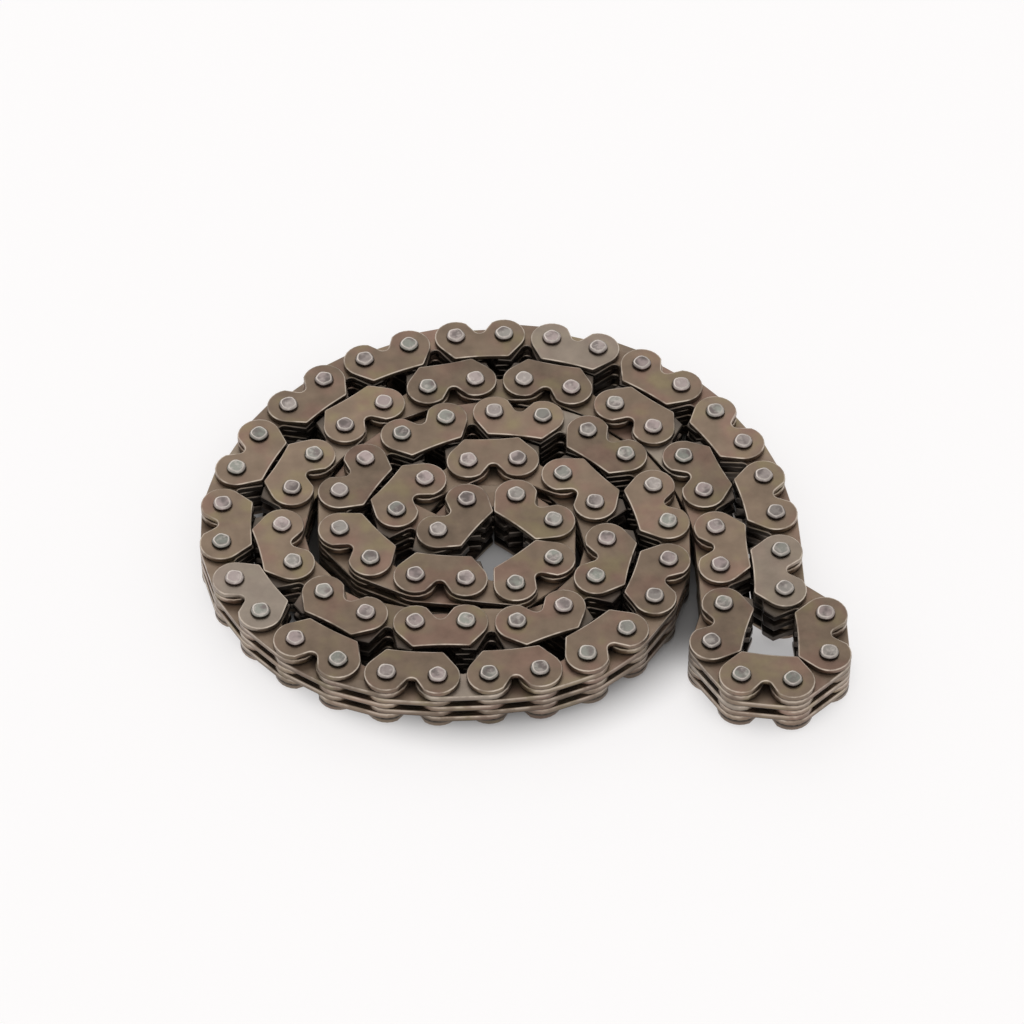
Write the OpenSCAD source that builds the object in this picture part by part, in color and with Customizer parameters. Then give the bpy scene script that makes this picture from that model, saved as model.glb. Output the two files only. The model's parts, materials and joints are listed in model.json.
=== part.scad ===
// Endless silent (inverted-tooth) chain, lying on its side in a loose coil.
// Outer links hold their pins fast; the toothed inner links between them turn on those pins.

/* [Chain] */
// Distance between neighbouring pins
pitch = 6.35; // [6:0.05:6.7]
// Gap between the ends of two plates in the same layer
end_gap = 0.75; // [0.5:0.05:1]
// Thickness of an outer guide plate
guide_t = 0.75; // [0.5:0.05:1.2]
// Thickness of a toothed plate
plate_t = 0.95; // [0.6:0.05:1.4]
// Side clearance between two layers of plates
layer_gap = 0.04; // [0.02:0.01:0.15]

/* [Pins] */
// Diameter of a pin
pin_d = 2.2; // [1.6:0.05:2.6]
// Length of a pin end that stands out of its guide plate
pin_proud = 0.55; // [0.3:0.05:1]
// Bevel on a pin end
pin_bevel = 0.25; // [0.1:0.05:0.3]
// Running clearance around a pin in a turning plate
hole_clear = 0.05; // [0.02:0.01:0.1]

/* [Plate outlines] */
// Height of the tooth tips below the line of the pins
tooth_h = 3.85; // [3.4:0.05:4]
// Distance that the centre of a tooth tip stands beyond its pin
tip_reach = 0.175; // [0:0.025:0.2]
// Radius of a tooth tip
tip_r = 0.45; // [0.3:0.05:0.6]
// Height of the notch floor in the back of a guide plate
notch_floor = 0.55; // [0.2:0.05:1]
// Radius of the notch floor
notch_r = 0.8; // [0.5:0.05:0.9]
// Angle around a guide plate's lobe where the notch cuts into it
notch_deg = 122; // [112:1:130]
// Hollow of a guide plate's lower edge
hollow = 0.15; // [0.05:0.05:0.3]
// Depth of the crotch's crown below the line of the pins
crotch_top = 0.85; // [0.5:0.05:1.2]
// Radius of the crotch's crown
crotch_r = 0.7; // [0.4:0.05:0.9]
// Half width of the crotch between the two tooth tips
crotch_half = 1.8; // [1.4:0.05:2.2]

/* [Coil] */
// Clearance between two tooth tips inside the inner fold
fold_tip_gap = 0.125; // [0.1:0.005:0.25]
// Clearance between neighbouring turns of the coil
turn_gap = 0.11; // [0.08:0.01:0.2]
// Direction of the first pin of the inner fold, clockwise from +X
neck_deg = -169.5; // [-171:0.5:-167]
// Clockwise angle where the first strand leaves the inner fold
first_rise_from_deg = 121; // [118:0.5:124]
// Angle that this rise takes
first_rise_deg = 81.5; // [79:0.5:83]
// Clockwise angle where the second strand steps out
second_rise_from_deg = 98.3; // [95:0.1:101]
// Angle that this step takes
second_rise_deg = 93; // [89:0.5:97]
// Clockwise angle where the first strand steps out again
third_rise_from_deg = 84.7; // [81:0.1:88]
// Angle that this step takes
third_rise_deg = 109.8; // [105:0.1:114]
// Share of a step that eases in, and as much eases out
ease_share = 0.27; // [0.23:0.01:0.32]

/* [Tail] */
// Links of the first strand before the tail, with those of the inner fold
strand_links = 47; // [46:1:48]
// Links in each side of the tail
tail_links = 4; // [3:1:5]
// Links in the outer fold, which takes more of them where its tooth tips would meet
fold_links = 6; // [6:2:8]
// Least clearance between two tooth tips inside the outer fold
outer_tip_gap = 0.06; // [0.02:0.01:0.06]
// How far round the coil the inner side of the tail may set off before the outer side
tail_lead_deg = 3.5; // [3:0.1:4]

/* [Hidden] */
$fn = 48;
half = pitch / 2;
lobe_r = (pitch - end_gap) / 2;
turning_hole_d = pin_d + 2 * hole_clear;
tip = [half + tip_reach, tip_r - tooth_h];
guide_hollow_r = (half * half + hollow * hollow) / (2 * hollow);
TURN = 360;
steel = [0.46, 0.40, 0.35];
bright = [0.62, 0.60, 0.58];

// Layers from the bottom up: a guide plate, five toothed plates, a guide plate
LAYERS = 7;
TOP = LAYERS - 1;
function layer_z(k) = pin_proud + (k == 0 ? 0 : guide_t + layer_gap + (k - 1) * (plate_t + layer_gap));
chain_w = layer_z(TOP) + guide_t + pin_proud;

// Point on a circle about c where the tangent from point p touches it, on the side given by turn
function touch(p, c, r, turn) =
    let (d = norm(c - p), a = atan2(p[1] - c[1], p[0] - c[0]) + turn * acos(r / d))
    c + r * [cos(a), sin(a)];

// Direction square to the tangent line that joins two circles
function flank_at(c1, r1, c2, r2) =
    let (d = c2 - c1) atan2(d[1], d[0]) + acos((r1 - r2) / norm(d));

// Bend at each pin of a fold where the teeth point inwards and the tips of next but one links keep a gap
function bend_at(gap) =
    let (tip_w = half - tip_r - gap / 2, reach = [tip_reach, tip_r - tooth_h])
    asin(min(1, tip_w / norm(reach))) - atan2(reach[0], -reach[1]);

// Radii of the turns. Pins lie on a circle, and a plate's straight edges lie on its chord.
function chord_of(r) = sqrt(r * r - half * half);
function pins_on(chord) = sqrt(chord * chord + half * half);
function tips_reach(r) = norm([chord_of(r) - tip[1], tip[0]]) + tip_r;
function outside_backs(r) = pins_on(r + 2 * lobe_r + turn_gap);
function outside_teeth(r) = pins_on(tips_reach(r) + turn_gap + tooth_h);
fold_r = half / sin(bend_at(fold_tip_gap) / 2);
second_in_r = outside_backs(fold_r);
first_in_r = outside_teeth(second_in_r);
second_out_r = outside_backs(first_in_r);
first_out_r = outside_teeth(second_out_r);

// Share of a step that is done at share x of its angle
function eased(x) =
    let (s = max(0, min(1, x)), e = ease_share, k = 2 * e * (1 - e))
    s < e ? s * s / k : s > 1 - e ? 1 - (1 - s) * (1 - s) / k : (s - e / 2) / (1 - e);

// Distance of each strand from the middle of the coil at a clockwise angle
FIRST = 1;
SECOND = 2;
TAIL = 3;
function first_at(a) =
    fold_r + (first_in_r - fold_r) * eased((a - first_rise_from_deg) / first_rise_deg)
        + (first_out_r - first_in_r) * eased((a - TURN - third_rise_from_deg) / third_rise_deg);
function second_at(a) =
    second_in_r + (second_out_r - second_in_r) * eased((a - second_rise_from_deg) / second_rise_deg);
function tail_at(a) = let (b = min(a, run_out_deg)) first_at(b) / cos(a - b);
function strand_at(s, a) = s == FIRST ? first_at(a) : s == SECOND ? second_at(a) : tail_at(a);
function outwards(a) = [cos(a), -sin(a)];
function onwards(a) = [-sin(a), -cos(a)];
function spot(s, a) = strand_at(s, a) * outwards(a);

// Angle of the pin one pitch after the pin at angle a, found by closing in from guess b
function next_pin(s, a, b, tries = 30) =
    tries == 0 ? b
        : next_pin(s, a, b + (pitch - norm(spot(s, b) - spot(s, a))) / strand_at(s, b) * 180 / PI, tries - 1);
function walk(s, a, n) =
    n == 0 ? [a] : concat([a], walk(s, next_pin(s, a, a + pitch / strand_at(s, a) * 180 / PI), n - 1));

// First strand: from the inner fold out to the tail, teeth inwards
first_walk = walk(FIRST, neck_deg, strand_links);
first = [for (a = first_walk) spot(FIRST, a)];
tail_from_deg = first_walk[strand_links];

// Second strand: from the neck link out to the tail, teeth outwards. Outer and inner links alternate
// all round the loop, so one strand has an odd number of links and the other an even one.
neck_turn_deg = acos((second_in_r ^ 2 + fold_r ^ 2 - pitch ^ 2) / (2 * second_in_r * fold_r));
second_walk = walk(SECOND, neck_deg + neck_turn_deg, strand_links);
second_ends = [for (j = [(strand_links + 1) % 2 : 2 : strand_links])
    if (second_walk[j] > tail_from_deg - TURN - tail_lead_deg) j];
second_links = second_ends[0];
second = [for (j = [0 : second_links]) spot(SECOND, second_walk[j])];

// Tail: it bends with the coil for as long as that leaves room for the teeth between its two sides,
// then runs straight. Both sides have the same shape, so they sway together as a parallelogram.
lane = first[strand_links] - second[second_links];
lane_w = norm(lane);
teeth_w = 2 * tooth_h + turn_gap;
lane_lean_deg = atan2(lane * onwards(tail_from_deg), lane * outwards(tail_from_deg));
run_out_deg = tail_from_deg + lane_lean_deg + acos(teeth_w / lane_w);
tail_out = [for (a = walk(TAIL, tail_from_deg, tail_links)) spot(TAIL, a)];
tail_back = [for (p = tail_out) p - lane];

// Outer fold: equal links on a circle through the ends of the tail
function fold_turn(n, r) = 2 * n * asin(half / r) + 2 * asin(lane_w / 2 / r);
function fit_fold(n, lo, hi, tries = 30) =
    let (r = (lo + hi) / 2)
    tries == 0 ? r : fold_turn(n, r) > TURN ? fit_fold(n, r, hi, tries - 1) : fit_fold(n, lo, r, tries - 1);
function outer_r(n) = fit_fold(n, max(lane_w, pitch) / 2, n * pitch);
function outer_bend(n) = 2 * asin(half / outer_r(n));
roomy = [for (n = [fold_links : 2 : 2 * fold_links]) if (outer_bend(n) < bend_at(outer_tip_gap)) n];
outer_links = roomy[0];
outer_fold_r = outer_r(outer_links);
fold_depth = sqrt(outer_fold_r ^ 2 - (lane_w / 2) ^ 2);
fold_mid = tail_out[tail_links] - lane / 2 + fold_depth * [lane[1], -lane[0]] / lane_w;
fold_from = tail_out[tail_links] - fold_mid;
fold_from_deg = atan2(fold_from[1], fold_from[0]);
outer_fold = [for (k = [0 : outer_links])
    let (a = fold_from_deg - k * outer_bend(outer_links)) fold_mid + outer_fold_r * [cos(a), sin(a)]];

// The chain's frame stands in the middle of its box
all_pins = concat(first, second, tail_out, tail_back, outer_fold);
function middle_of(v) = (min(v) + max(v)) / 2;
frame_at = [middle_of([for (p = all_pins) p[0]]), middle_of([for (p = all_pins) p[1]])];

// Outlines, with the pins on the X axis and the teeth downwards
module tooth_body(crown) {
    a = flank_at([half, 0], lobe_r, tip, tip_r);
    flank = [cos(a), sin(a)];
    right = [[half, crown], [half, 0] + lobe_r * flank, tip + tip_r * flank, [tip[0], -tooth_h]];
    left = [for (k = [len(right) - 1 : -1 : 0]) [-right[k][0], right[k][1]]];
    polygon(concat(right, left));
    for (side = [-1, 1]) {
        translate([side * half, 0]) circle(lobe_r);
        translate([side * tip[0], tip[1]]) circle(tip_r);
    }
}

module notch_cut() {
    rim = [half, 0] + lobe_r * [cos(notch_deg), sin(notch_deg)];
    floor_at = [0, notch_floor + notch_r];
    foot = touch(rim, floor_at, notch_r, -1);
    over = rim + (rim - foot) * lobe_r / norm(rim - foot);
    translate(floor_at) circle(notch_r);
    polygon([foot, over, [-over[0], over[1]], [-foot[0], foot[1]]]);
}

module crotch_cut() {
    crown_at = [0, -crotch_top - crotch_r];
    rim = [crotch_half, -tooth_h];
    foot = touch(rim, crown_at, crotch_r, 1);
    under = rim + (rim - foot) * tip_r / norm(rim - foot);
    translate(crown_at) circle(crotch_r);
    polygon([foot, under, [-under[0], under[1]], [-foot[0], foot[1]]]);
}

module pin_holes(d) {
    for (side = [-1, 1]) translate([side * half, 0]) circle(d = d);
}

module guide_plate() {
    rim_y = lobe_r * sin(notch_deg);
    linear_extrude(guide_t) difference() {
        tooth_body(rim_y);
        notch_cut();
        translate([0, hollow - tooth_h - guide_hollow_r]) circle(guide_hollow_r);
        pin_holes(pin_d);
    }
}

module toothed_plate(hole_d) {
    linear_extrude(plate_t) difference() {
        tooth_body(lobe_r);
        crotch_cut();
        pin_holes(hole_d);
    }
}

module pin() {
    barrel = chain_w - 2 * pin_bevel;
    end_r = pin_d / 2 - pin_bevel;
    cylinder(h = pin_bevel, r1 = end_r, r2 = pin_d / 2);
    translate([0, 0, pin_bevel]) cylinder(h = barrel, d = pin_d);
    translate([0, 0, chain_w - pin_bevel]) cylinder(h = pin_bevel, r1 = pin_d / 2, r2 = end_r);
}

// Links, each as its two pins in loop order, so that all teeth face the inside of the loop
function link_up(v, j) = [v[j], v[j + 1]];
function link_down(v, j) = [v[j + 1], v[j]];
first_outer = [for (j = [0 : 2 : strand_links - 1]) link_up(first, j)];
first_inner = [for (j = [1 : 2 : strand_links - 1]) link_up(first, j)];
second_outer = [for (j = [0 : 2 : second_links - 1]) link_down(second, j)];
second_inner = [for (j = [-1 : 2 : second_links - 1]) j < 0 ? [second[0], first[0]] : link_down(second, j)];

// Runs of links that move: both sides of the tail, and the outer fold
RUNS = ["tail_out", "tail_back", "outer_fold"];
run_links = [
    [for (k = [0 : tail_links - 1]) link_up(tail_out, k)],
    [for (k = [0 : tail_links - 1]) link_down(tail_back, k)],
    [for (k = [0 : outer_links - 1]) link_up(outer_fold, k)]];
links_before = [strand_links, second_links, strand_links + tail_links];
function is_outer(r, k) = (links_before[r] + k) % 2 == 0;

module placed(ends) {
    along = ends[1] - ends[0];
    mid = (ends[0] + ends[1]) / 2 - frame_at;
    translate(mid) rotate(atan2(along[1], along[0])) children();
}

module guides(links, layers) {
    color(steel) for (ends = links, k = layers)
        placed(ends) translate([0, 0, layer_z(k)]) guide_plate();
}

module middle_plates(links, layers) {
    color(steel) for (ends = links, k = layers)
        placed(ends) translate([0, 0, layer_z(k)]) toothed_plate(pin_d);
}

module inner_plates(links, layers) {
    color(steel) for (ends = links, k = layers)
        placed(ends) translate([0, 0, layer_z(k)]) toothed_plate(turning_hole_d);
}

module pins(links) {
    color(bright) for (ends = links, p = ends) translate(p - frame_at) pin();
}

GUIDE_LAYERS = [0, TOP];
MIDDLE_LAYERS = [2, 4];
INNER_LAYERS = [1, 3, 5];
STRANDS = ["first_strand", "second_strand"];
function coil_outer(s) = s == 0 ? first_outer : second_outer;
function coil_inner(s) = s == 0 ? first_inner : second_inner;
function guides_name(s, k) = str(STRANDS[s], "_guides_", k + 1);
function middle_name(s, k) = str(STRANDS[s], "_middle_plates_", k + 1);
function inner_name(s, k) = str(STRANDS[s], "_inner_plates_", k + 1);
function pins_name(s) = str(STRANDS[s], "_pins");
function link_name(r, k, piece) = str(RUNS[r], "_", k + 1, piece);
OUTER_PIECES = ["_guides", "_middle_plates", "_pins"];
INNER_PIECES = ["_inner_plates"];

for (s = [0, 1]) {
    for (k = GUIDE_LAYERS)
        guides(coil_outer(s), [k]);
    for (k = MIDDLE_LAYERS)
        middle_plates(coil_outer(s), [k]);
    for (k = INNER_LAYERS)
        inner_plates(coil_inner(s), [k]);
    pins(coil_outer(s));
}
for (r = [0 : len(RUNS) - 1], k = [0 : len(run_links[r]) - 1]) {
    link = [run_links[r][k]];
    if (is_outer(r, k)) {
        guides(link, GUIDE_LAYERS);
        middle_plates(link, MIDDLE_LAYERS);
        pins(link);
    } else {
        inner_plates(link, INNER_LAYERS);
    }
}
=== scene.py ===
"""Looks of a silent timing chain: each plate and pin stands where the packed model has its solid."""

import json
import math

import bpy
import numpy as np
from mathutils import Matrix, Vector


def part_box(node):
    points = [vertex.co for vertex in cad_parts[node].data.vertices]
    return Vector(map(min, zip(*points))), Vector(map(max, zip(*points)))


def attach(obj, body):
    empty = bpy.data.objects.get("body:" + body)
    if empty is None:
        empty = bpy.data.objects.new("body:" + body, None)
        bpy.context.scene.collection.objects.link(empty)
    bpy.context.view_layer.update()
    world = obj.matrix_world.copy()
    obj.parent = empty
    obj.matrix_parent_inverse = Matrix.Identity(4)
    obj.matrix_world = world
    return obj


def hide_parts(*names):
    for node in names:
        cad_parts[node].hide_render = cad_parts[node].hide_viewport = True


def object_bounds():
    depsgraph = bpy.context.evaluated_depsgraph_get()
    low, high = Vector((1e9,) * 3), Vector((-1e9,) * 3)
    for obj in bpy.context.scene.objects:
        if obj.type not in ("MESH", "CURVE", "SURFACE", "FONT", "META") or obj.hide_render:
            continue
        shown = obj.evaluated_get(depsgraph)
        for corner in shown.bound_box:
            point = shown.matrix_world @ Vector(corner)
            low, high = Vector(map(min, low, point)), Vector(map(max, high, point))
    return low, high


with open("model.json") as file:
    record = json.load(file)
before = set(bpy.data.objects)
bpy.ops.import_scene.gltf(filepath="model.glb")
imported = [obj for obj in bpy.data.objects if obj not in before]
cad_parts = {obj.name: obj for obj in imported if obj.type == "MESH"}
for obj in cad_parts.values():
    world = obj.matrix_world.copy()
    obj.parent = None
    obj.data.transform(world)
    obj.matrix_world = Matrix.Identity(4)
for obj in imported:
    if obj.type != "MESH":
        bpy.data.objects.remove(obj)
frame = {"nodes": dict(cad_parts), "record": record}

CAD_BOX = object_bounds()

bl_info = {
    "name": "Silent Timing Chain",
    "version": (1, 0, 0),
    "blender": (4, 5, 0),
    "location": "3D View > Sidebar > Chain",
    "description": "Dresses the plates and pins of a silent timing chain",
    "category": "Add Mesh",
}

MM = 0.001
SEED = 11

# Edges sharper than these stay creased: on the plates with a rolled edge, and on the other pieces.
ROLLED = math.radians(52)
CRISP = math.radians(30)

# A corner this near to a hole's radius is on its rim, and a rim has at least so many corners.
RIM_SLACK = 0.25 * MM
RIM_CORNERS = 8

# Corners round a hole of a guide plate, a hole of a toothed plate and a pin.
GUIDE_HOLE_STEPS = 16
TOOTHED_HOLE_STEPS = 12
PIN_STEPS = 20

# Noises, each with its patches a metre, its detail and its roughness.
RED_NOISE = (170.0, 2.0, 0.5)
OLIVE_NOISE = (210.0, 2.0, 0.6)
CLOUD_NOISE = (420.0, 3.0, 0.5)
GRAIN_NOISE = (1500.0, 4.0, 0.65)
WEAR_HIGHLIGHT_NOISE = (480.0, 3.0, 0.5)
DULL_NOISE = (620.0, 2.0, 0.5)
HAMMER_NOISE = (1100.0, 3.0, 0.6)

# How far the tint's noises move for a plate with tone 1, in metres, so that no two plates are tinted alike.
TINT_SHIFT = (0.31, 0.47, 0.19)

# Values of a noise between which a patch goes from nothing to all of it.
RED_PATCHES = (0.46, 0.68)
OLIVE_PATCHES = (0.50, 0.72)
WEAR_HIGHLIGHT_PATCHES = (0.36, 0.60)
DULL_PATCHES = (0.42, 0.66)
HAMMER_MARKS = (0.50, 0.72)

# Tones between which a plate turns grey and a pin cool, and rims between which a bevel gets its polish and
# painted highlight.
GREY_TONES = (0.86, 0.99)
COOL_TONES = (0.2, 0.9)
POLISH_HIGHLIGHT_RIM = (0.05, 0.45)

# Full strength of the tints and the hammer marks' shine, and the edge wear and painted highlight left between
# its patches.
RED_SHARE = 0.9
OLIVE_SHARE = 0.8
GREY_SHARE = 0.7
HAMMER_SHARE = 0.45
WEAR_HIGHLIGHT_REST = 0.25

# Level of the darkest plate and pin, and how much more the lightest has. The pins' level runs through its
# range PIN_RUNS times while their tone goes from 0 to 1.
PLATE_DARKEST = 0.79
PLATE_SPREAD = 0.46
PIN_DARKEST = 0.81
PIN_SPREAD = 0.38
PIN_RUNS = 7.3

# Roughness that the plates' grain and the pins' hammer marks add, and what is taken off everywhere for it.
PLATE_GRAIN = (0.18, 0.09)
PIN_GRAIN = (0.22, 0.08)

# Roughness that a rubbed edge and a polished bevel lose.
WORN_GLOSS = 0.10
BEVEL_GLOSS = 0.14

# Strength and height of the bumps.
PLATE_BUMP = (0.10, 0.02 * MM)
PIN_BUMP = (0.35, 0.05 * MM)

# Distances from a point between which the floor changes: at the outer fold, in the nook, at the tail's root,
# in the coil's eye, and where the painted shade on the floor under the coil ends.
FOLD_FADE = (4 * MM, 12 * MM)
NOOK_FADE = (3 * MM, 11 * MM)
ROOT_FADE = (2.5 * MM, 5 * MM)
EYE_FADE = (2.5 * MM, 8 * MM)
UNDER_FADE = (24 * MM, 29 * MM)

# Share of its own light that the floor keeps in the outer fold, in the coil's eye, and in reflections: less
# glow in the fold paints its shade, a little glow in the eye paints a pool of light there, and more glow in
# reflections paints brighter reflections of the floor on the plates.
FOLD_LIGHT = 0.5
EYE_LIGHT = 0.18
MIRRORED_LIGHT = 1.35

# Half the side of the floor's square in metres, its roughness and its specular level.
FLOOR_HALF = 3.0
FLOOR_ROUGH = 0.9
FLOOR_SHEEN = 0.1

# Each lamp's name, the setting with its power, its place and the side of its square, in metres.
LAMPS = (
    ("Key", "key", (-0.22, 0.95, 0.85), 0.8),
    ("Fill", "fill", (0.12, -0.85, 0.80), 0.6),
    ("Top", "top", (0.0, 0.06, 1.10), 0.5),
)

# Width of the sensor that the lens belongs to, in millimetres, and how near and far the camera sees.
SENSOR = 36.0
SIGHT = (0.01, 10.0)


def length(name, description, default, most=0.02):
    """A size in metres, which the panel shows in the scene's unit."""
    return bpy.props.FloatProperty(
        name=name, description=description, default=default, min=0.0, max=most, precision=6, unit="LENGTH",
        subtype="DISTANCE")


def share(name, description, default, most=1.0):
    """A plain share or factor."""
    return bpy.props.FloatProperty(
        name=name, description=description, default=default, min=0.0, max=most, precision=3)


def power(name, description, default):
    """A lamp's power in watts."""
    return bpy.props.FloatProperty(
        name=name, description=description, default=default, min=0.0, unit="POWER")


def place(name, description, default):
    """A point in metres."""
    return bpy.props.FloatVectorProperty(
        name=name, description=description, default=default, size=3, subtype="TRANSLATION", unit="LENGTH",
        precision=6)


def colour(name, description, default):
    """A linear colour without alpha."""
    return bpy.props.FloatVectorProperty(
        name=name, description=description, default=default, min=0.0, max=1.0, size=3, subtype="COLOR")


# Settings

class ChainPlateSizes(bpy.types.PropertyGroup):
    """Sizes of the plates, the same as the packed model's"""

    pitch: length("Pitch", "Distance between the two pins of a plate", 6.35 * MM)
    lobe_r: length("Lobe radius", "Radius of a plate's round ends", 2.8 * MM)
    tooth_h: length("Tooth height", "Height of the tooth tips below the pins", 3.85 * MM)
    tip_reach: length("Tip reach", "How far a tip's centre stands beyond its pin", 0.175 * MM)
    tip_r: length("Tip radius", "Radius of a tooth tip", 0.45 * MM)
    notch_floor: length("Notch floor", "Height of a guide plate's notch above the pins", 0.55 * MM)
    notch_r: length("Notch radius", "Radius of the notch floor", 0.8 * MM)
    notch_turn: bpy.props.FloatProperty(
        name="Notch angle", description="Where the notch cuts into a lobe", default=math.radians(122),
        min=1.5, max=2.6, subtype="ANGLE", unit="ROTATION")
    hollow: length("Hollow", "Hollow of a guide plate's lower edge", 0.15 * MM)
    crotch_top: length("Crotch depth", "Crown of the crotch below the pins", 0.85 * MM)
    crotch_r: length("Crotch radius", "Radius of the crotch's crown", 0.7 * MM)
    crotch_half: length("Crotch half width", "Half width of the crotch between the tips", 1.8 * MM)
    pin_r: length("Pin radius", "Radius of a pin", 1.1 * MM)
    fast_gap: length("Seat gap", "Gap round a pin in a plate that holds it", 0.02 * MM)
    turning_gap: length("Running gap", "Gap round a pin in a plate that turns", 0.05 * MM)


class ChainEdgeSizes(bpy.types.PropertyGroup):
    """Sizes of the rolled edges and of the pin ends"""

    roll: length("Rolled edge", "Width of a guide plate's rolled upper edge", 0.13 * MM)
    # The dark lower edge is painted shade where a plate meets the plate below.
    burr: length("Lower edge", "Width of a plate's dark lower edge", 0.08 * MM)
    # The bright band inside the edge is worn steel and a painted highlight.
    wear_and_highlight: length("Worn band", "Width of the bright worn band inside the edge", 0.27 * MM)
    break_edge: length("Edge break", "Edge break of a toothed plate", 0.1 * MM)
    # The dark ring round a pin is painted shade at its foot; the seat's depth is real.
    seat: length("Seat width", "Width of the dark ring round a pin", 0.13 * MM)
    seat_depth: length("Seat depth", "Depth of that ring at the pin", 0.07 * MM)
    # Painted shade on the tooth side, darker the deeper below the pins.
    painted_shade: share("Painted shade on the teeth", "How dark the oily tooth side of a toothed plate is", 0.95)
    head: length("Pin head", "How far riveting spreads a pin end beyond the pin's radius", 0.12 * MM)
    head_h: length("Pin head height", "Height of the spread part of a pin end", 0.48 * MM)
    end_bevel: length("Pin bevel", "Width and height of the bevel on a pin end", 0.21 * MM)
    end_round: length("Pin end rounding", "Rounding between the bevel and the end face", 0.09 * MM)
    dish: length("Pin end dish", "Depth of the dish in a pin's end face", 0.008 * MM)
    peen: share("Peening", "How far riveting pushes the end faces out of round", 0.085)


class ChainFinish(bpy.types.PropertyGroup):
    """Colours and gloss of the steels"""

    plate: colour("Plate steel", "Plain colour of a plate", (0.166, 0.122, 0.088))
    red: colour("Red tint", "Colour where the heat has turned a plate red", (0.182, 0.116, 0.088))
    olive: colour("Olive tint", "Colour where it has turned olive", (0.162, 0.130, 0.076))
    grey: colour("Grey tint", "Colour of a plate with little tint", (0.186, 0.163, 0.138))
    # The bright edge colour is rubbed steel and a painted highlight; the shares say how much of each plate's
    # edge gets it.
    wear_and_highlight: colour("Worn edge", "Colour of a rubbed edge", (0.74, 0.64, 0.54))
    guide_wear_and_light: share("Guide wear", "How much of a guide plate's edge is rubbed bright", 0.8)
    middle_wear_and_light: share("Middle wear", "How much of a middle plate's edge is rubbed bright", 0.55)
    inner_wear_and_light: share("Inner wear", "How much of an inner plate's edge is rubbed bright", 0.6)
    guide_mottle: share("Guide mottle", "Strength of the fine mottle on a guide plate", 0.28)
    mottle: share("Mottle", "Strength of the fine mottle on a toothed plate", 0.2)
    cloud: share("Cloud", "Strength of the soft clouds on every plate", 0.70)
    plate_metal: share("Plate metalness", "How metallic the tinted skin of a plate is", 0.92)
    plate_rough: share("Plate roughness", "Roughness of a plate", 0.40)
    pin: colour("Pin steel", "Colour of a pin's end face", (0.262, 0.213, 0.204))
    pin_cool: colour("Cool pin steel", "Colour of an end face with a cooler cast", (0.182, 0.185, 0.162))
    pin_dark: colour("Dark pin steel", "Colour of the duller patches of an end face", (0.122, 0.103, 0.097))
    # The bevel's brighter colour is polish and a painted highlight.
    pin_polish_and_highlight: colour("Pin bevel steel", "Colour of the polished bevel", (0.44, 0.395, 0.36))
    pin_rough: share("Pin roughness", "Roughness of a pin", 0.30)
    # Dark colour of the painted shade round the pins, along the lower edges, in the holes and on the teeth.
    painted_shade_colour: colour(
        "Painted shade", "Colour of the oil at the pins, in the gaps and on the teeth", (0.070, 0.058, 0.049))


class ChainStage(bpy.types.PropertyGroup):
    """Camera, floor and light"""

    elevation: bpy.props.FloatProperty(
        name="Camera elevation", description="Height angle of the camera", default=math.radians(48.886),
        min=0.0, max=1.57, subtype="ANGLE", unit="ROTATION")
    distance: length("Camera distance", "From the camera to the aimed point", 557.0 * MM, 5.0)
    lens: bpy.props.FloatProperty(
        name="Lens", description="Focal length for a 36 mm sensor", default=153.995, min=10.0, max=400.0,
        subtype="DISTANCE_CAMERA")
    aim: place("Aimed point", "Point in the middle of the picture", (-1.2 * MM, -2.3 * MM, 7.59 * MM))
    floor: colour("Floor", "Colour of the floor", (0.42, 0.415, 0.415))
    # A darker floor under the coil is painted shade.
    under: colour("Floor under the coil", "Colour of the floor between its turns", (0.16, 0.15, 0.14))
    glow: colour("Floor glow", "Colour of the light that the floor adds", (1.0, 0.985, 0.985))
    lift: share("Floor lift", "Light that the floor adds for the camera and in reflections", 0.65)
    shade_r: length(
        "Shaded radius", "From the coil's middle to where the floor starts to add light", 27.0 * MM, 0.2)
    clear_r: length(
        "Clear radius", "From the coil's middle to where the floor adds all its light", 37.0 * MM, 0.3)
    sky_colour: colour("Sky colour", "Colour of the light from all round", (1.0, 0.992, 0.985))
    sky: share("Sky light", "Strength of the light from all round on matt faces", 0.67, 4.0)
    key: power("Key light", "Power of the light behind the chain", 1.4)
    fill: power("Fill light", "Power of the light in front of the chain", 0.8)
    top: power("Top light", "Power of the light above the chain", 0.4)
    # Places where the floor's glow changes: a painted pool of light in the eye, painted shade in the nook and
    # at the tail's root.
    eye: place("Coil's eye", "Middle of the inner fold, where the floor shows", (-2.99 * MM, -6.37 * MM, 0.0))
    nook: place("Nook", "Middle of the gap between the coil and the outer fold", (20.0 * MM, -12.0 * MM, 0.0))
    root: place("Tail's root", "Gap where the tail leaves the coil", (21.5 * MM, 17.4 * MM, 0.0))


# Where the pieces stand

def solids_of(node):
    """Vertices of each solid of a CAD node.

    Corners that agree to a tenth of a micrometre are merged, and each corner takes the lowest number that any
    triangle joins it to, over and over, until every solid has one number.
    """
    mesh = frame["nodes"][node].data
    mesh.calc_loop_triangles()
    at = np.empty(len(mesh.vertices) * 3)
    mesh.vertices.foreach_get("co", at)
    at, same = np.unique(at.reshape(-1, 3).round(7), axis=0, return_inverse=True)
    tri = np.empty(len(mesh.loop_triangles) * 3, np.int32)
    mesh.loop_triangles.foreach_get("vertices", tri)
    tri = same.ravel()[tri.reshape(-1, 3)]
    label = np.arange(len(at))
    while True:
        lowest = np.repeat(label[tri].min(axis=1), 3)
        after = label.copy()
        np.minimum.at(after, tri.ravel(), lowest)
        if (after == label).all():
            return [at[label == k] for k in np.unique(label)]
        label = after


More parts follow.
